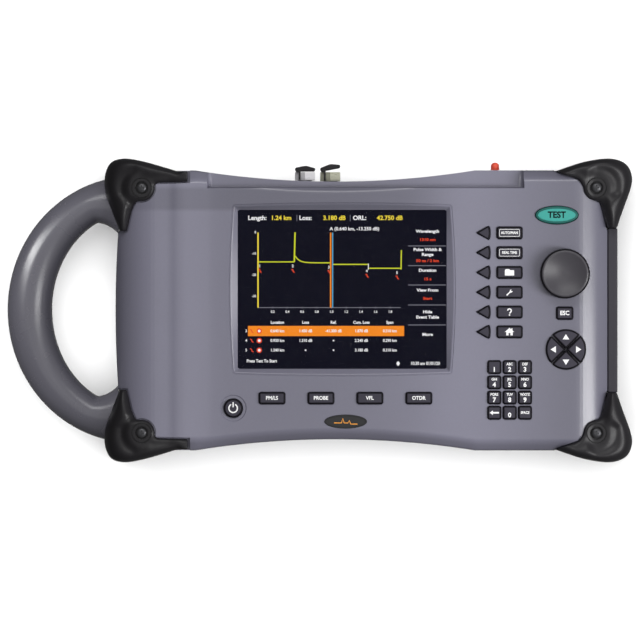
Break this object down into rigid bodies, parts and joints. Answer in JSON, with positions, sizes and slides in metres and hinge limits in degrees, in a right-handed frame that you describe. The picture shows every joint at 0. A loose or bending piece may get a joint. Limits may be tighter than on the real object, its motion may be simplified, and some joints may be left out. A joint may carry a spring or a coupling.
{
  "type": "optical time-domain reflectometer",
  "caption": "Flat handheld fibre-optic test instrument with a C-shaped carry handle, rubber corner bumpers, a colour screen, a rotary knob, press keys and capped optical ports.",
  "frame": {"origin": "centre of the bounding box in X and Y, on the plane that the rear faces of the four bumpers rest on", "axes": "+X from the carry handle to the knob, +Y from the lower edge to the optical ports, +Z out of the screen; the instrument lies on its back"},
  "size_m": [0.4041, 0.1962, 0.081],
  "materials": {
    "casing": "fine moulded texture, mid grey",
    "handle": "soft-touch, dark grey",
    "bumper": "fine texture, near black",
    "guard": "smooth, dark grey",
    "screw": "black oxide",
    "window": "clear, hard coated",
    "lcd": "display picture on its front",
    "board": "solder resist, satin",
    "mat": "matt silicone",
    "battery": "shrink sleeve, satin",
    "metal": "satin sheet",
    "port": "bright nickel",
    "cap": "matt black",
    "vfl_cap": "matt red",
    "knob": "soft-touch, dark grey",
    "key": "matt, dark grey with light legends",
    "test_key": "matt teal with a dark legend"
  },
  "bodies": {
    "instrument": {"battery_door": "casing", "battery_pack": "battery", "bumper_bottom_left": "bumper", "bumper_bottom_right": "bumper", "bumper_top_left": "bumper", "bumper_top_right": "bumper", "carry_handle": "handle", "display_window": "window", "front_casing": "casing", "key_mat": "mat", "lcd_module": "lcd", "main_board": "board", "optical_module": "metal", "port_a": "port", "port_b": "port", "rear_casing": "casing", "screw_bottom_left": "screw", "screw_bottom_right": "screw", "screw_top_left": "screw", "screw_top_right": "screw", "side_guard": "guard"},
    "knob": {"knob": "knob"},
    "port_cap_a": {"port_cap_a": "cap"},
    "port_cap_b": {"port_cap_b": "cap"},
    "vfl_cap": {"vfl_cap": "vfl_cap"},
    "test_key": {"test_key": "test_key"},
    "power_key": {"power_key": "key"},
    "esc_key": {"esc_key": "key"},
    "up_key": {"up_key": "key"},
    "down_key": {"down_key": "key"},
    "left_key": {"left_key": "key"},
    "right_key": {"right_key": "key"},
    "home_key": {"home_key": "key"},
    "auto_key": {"auto_key": "key"},
    "trace_key": {"trace_key": "key"},
    "soft_key_1": {"soft_key_1": "key"},
    "number_key_0": {"number_key_0": "key"},
    "fault_locator_key": {"fault_locator_key": "key"},
    "file_key": {"file_key": "key"},
    "help_key": {"help_key": "key"},
    "number_key_1": {"number_key_1": "key"},
    "number_key_2": {"number_key_2": "key"},
    "number_key_3": {"number_key_3": "key"},
    "number_key_4": {"number_key_4": "key"},
    "number_key_5": {"number_key_5": "key"},
    "number_key_6": {"number_key_6": "key"},
    "number_key_7": {"number_key_7": "key"},
    "number_key_8": {"number_key_8": "key"},
    "number_key_9": {"number_key_9": "key"},
    "number_key_back": {"number_key_back": "key"},
    "number_key_space": {"number_key_space": "key"},
    "power_meter_key": {"power_meter_key": "key"},
    "probe_key": {"probe_key": "key"},
    "real_time_key": {"real_time_key": "key"},
    "setup_key": {"setup_key": "key"},
    "soft_key_2": {"soft_key_2": "key"},
    "soft_key_3": {"soft_key_3": "key"},
    "soft_key_4": {"soft_key_4": "key"},
    "soft_key_5": {"soft_key_5": "key"},
    "soft_key_6": {"soft_key_6": "key"}
  },
  "joints": [
    {"name": "port_cap_a_swing", "type": "hinge", "parent": "instrument", "child": "port_cap_a", "pos_m": [-0.0151, 0.0911, 0.048], "axis": [0, 0, 1], "range_deg": [0, 105]},
    {"name": "port_cap_b_swing", "type": "hinge", "parent": "instrument", "child": "port_cap_b", "pos_m": [0.0012, 0.0911, 0.048], "axis": [0, 0, 1], "range_deg": [-11, 94]},
    {"name": "vfl_cap_pull", "type": "slide", "parent": "instrument", "child": "vfl_cap", "axis": [0, 1, 0], "range_m": [0, 0.012]},
    {"name": "knob_turn", "type": "hinge", "parent": "instrument", "child": "knob", "pos_m": [0.1578, 0.0237, 0.07], "axis": [0, 0, 1], "continuous": true},
    {"name": "test_key_press", "type": "slide", "parent": "instrument", "child": "test_key", "axis": [0, 0, -1], "range_m": [0, 0.0012], "stiffness_N_per_m": 800},
    {"name": "power_key_press", "type": "slide", "parent": "instrument", "child": "power_key", "axis": [0, 0, -1], "range_m": [0, 0.0012], "stiffness_N_per_m": 800},
    {"name": "esc_key_press", "type": "slide", "parent": "instrument", "child": "esc_key", "axis": [0, 0, -1], "range_m": [0, 0.0012], "stiffness_N_per_m": 800},
    {"name": "up_key_press", "type": "slide", "parent": "instrument", "child": "up_key", "axis": [0, 0, -1], "range_m": [0, 0.0012], "stiffness_N_per_m": 800},
    {"name": "down_key_press", "type": "slide", "parent": "instrument", "child": "down_key", "axis": [0, 0, -1], "range_m": [0, 0.0012], "stiffness_N_per_m": 800},
    {"name": "left_key_press", "type": "slide", "parent": "instrument", "child": "left_key", "axis": [0, 0, -1], "range_m": [0, 0.0012], "stiffness_N_per_m": 800},
    {"name": "right_key_press", "type": "slide", "parent": "instrument", "child": "right_key", "axis": [0, 0, -1], "range_m": [0, 0.0012], "stiffness_N_per_m": 800},
    {"name": "home_key_press", "type": "slide", "parent": "instrument", "child": "home_key", "axis": [0, 0, -1], "range_m": [0, 0.0012], "stiffness_N_per_m": 800},
    {"name": "auto_key_press", "type": "slide", "parent": "instrument", "child": "auto_key", "axis": [0, 0, -1], "range_m": [0, 0.0012], "stiffness_N_per_m": 800},
    {"name": "trace_key_press", "type": "slide", "parent": "instrument", "child": "trace_key", "axis": [0, 0, -1], "range_m": [0, 0.0012], "stiffness_N_per_m": 800},
    {"name": "soft_key_1_press", "type": "slide", "parent": "instrument", "child": "soft_key_1", "axis": [0, 0, -1], "range_m": [0, 0.0012], "stiffness_N_per_m": 800},
    {"name": "number_key_0_press", "type": "slide", "parent": "instrument", "child": "number_key_0", "axis": [0, 0, -1], "range_m": [0, 0.0012], "stiffness_N_per_m": 800},
    {"name": "fault_locator_key_press", "type": "slide", "parent": "instrument", "child": "fault_locator_key", "axis": [0, 0, -1], "range_m": [0, 0.0012], "stiffness_N_per_m": 800},
    {"name": "file_key_press", "type": "slide", "parent": "instrument", "child": "file_key", "axis": [0, 0, -1], "range_m": [0, 0.0012], "stiffness_N_per_m": 800},
    {"name": "help_key_press", "type": "slide", "parent": "instrument", "child": "help_key", "axis": [0, 0, -1], "range_m": [0, 0.0012], "stiffness_N_per_m": 800},
    {"name": "number_key_1_press", "type": "slide", "parent": "instrument", "child": "number_key_1", "axis": [0, 0, -1], "range_m": [0, 0.0012], "stiffness_N_per_m": 800},
    {"name": "number_key_2_press", "type": "slide", "parent": "instrument", "child": "number_key_2", "axis": [0, 0, -1], "range_m": [0, 0.0012], "stiffness_N_per_m": 800},
    {"name": "number_key_3_press", "type": "slide", "parent": "instrument", "child": "number_key_3", "axis": [0, 0, -1], "range_m": [0, 0.0012], "stiffness_N_per_m": 800},
    {"name": "number_key_4_press", "type": "slide", "parent": "instrument", "child": "number_key_4", "axis": [0, 0, -1], "range_m": [0, 0.0012], "stiffness_N_per_m": 800},
    {"name": "number_key_5_press", "type": "slide", "parent": "instrument", "child": "number_key_5", "axis": [0, 0, -1], "range_m": [0, 0.0012], "stiffness_N_per_m": 800},
    {"name": "number_key_6_press", "type": "slide", "parent": "instrument", "child": "number_key_6", "axis": [0, 0, -1], "range_m": [0, 0.0012], "stiffness_N_per_m": 800},
    {"name": "number_key_7_press", "type": "slide", "parent": "instrument", "child": "number_key_7", "axis": [0, 0, -1], "range_m": [0, 0.0012], "stiffness_N_per_m": 800},
    {"name": "number_key_8_press", "type": "slide", "parent": "instrument", "child": "number_key_8", "axis": [0, 0, -1], "range_m": [0, 0.0012], "stiffness_N_per_m": 800},
    {"name": "number_key_9_press", "type": "slide", "parent": "instrument", "child": "number_key_9", "axis": [0, 0, -1], "range_m": [0, 0.0012], "stiffness_N_per_m": 800},
    {"name": "number_key_back_press", "type": "slide", "parent": "instrument", "child": "number_key_back", "axis": [0, 0, -1], "range_m": [0, 0.0012], "stiffness_N_per_m": 800},
    {"name": "number_key_space_press", "type": "slide", "parent": "instrument", "child": "number_key_space", "axis": [0, 0, -1], "range_m": [0, 0.0012], "stiffness_N_per_m": 800},
    {"name": "power_meter_key_press", "type": "slide", "parent": "instrument", "child": "power_meter_key", "axis": [0, 0, -1], "range_m": [0, 0.0012], "stiffness_N_per_m": 800},
    {"name": "probe_key_press", "type": "slide", "parent": "instrument", "child": "probe_key", "axis": [0, 0, -1], "range_m": [0, 0.0012], "stiffness_N_per_m": 800},
    {"name": "real_time_key_press", "type": "slide", "parent": "instrument", "child": "real_time_key", "axis": [0, 0, -1], "range_m": [0, 0.0012], "stiffness_N_per_m": 800},
    {"name": "setup_key_press", "type": "slide", "parent": "instrument", "child": "setup_key", "axis": [0, 0, -1], "range_m": [0, 0.0012], "stiffness_N_per_m": 800},
    {"name": "soft_key_2_press", "type": "slide", "parent": "instrument", "child": "soft_key_2", "axis": [0, 0, -1], "range_m": [0, 0.0012], "stiffness_N_per_m": 800},
    {"name": "soft_key_3_press", "type": "slide", "parent": "instrument", "child": "soft_key_3", "axis": [0, 0, -1], "range_m": [0, 0.0012], "stiffness_N_per_m": 800},
    {"name": "soft_key_4_press", "type": "slide", "parent": "instrument", "child": "soft_key_4", "axis": [0, 0, -1], "range_m": [0, 0.0012], "stiffness_N_per_m": 800},
    {"name": "soft_key_5_press", "type": "slide", "parent": "instrument", "child": "soft_key_5", "axis": [0, 0, -1], "range_m": [0, 0.0012], "stiffness_N_per_m": 800},
    {"name": "soft_key_6_press", "type": "slide", "parent": "instrument", "child": "soft_key_6", "axis": [0, 0, -1], "range_m": [0, 0.0012], "stiffness_N_per_m": 800}
  ]
}
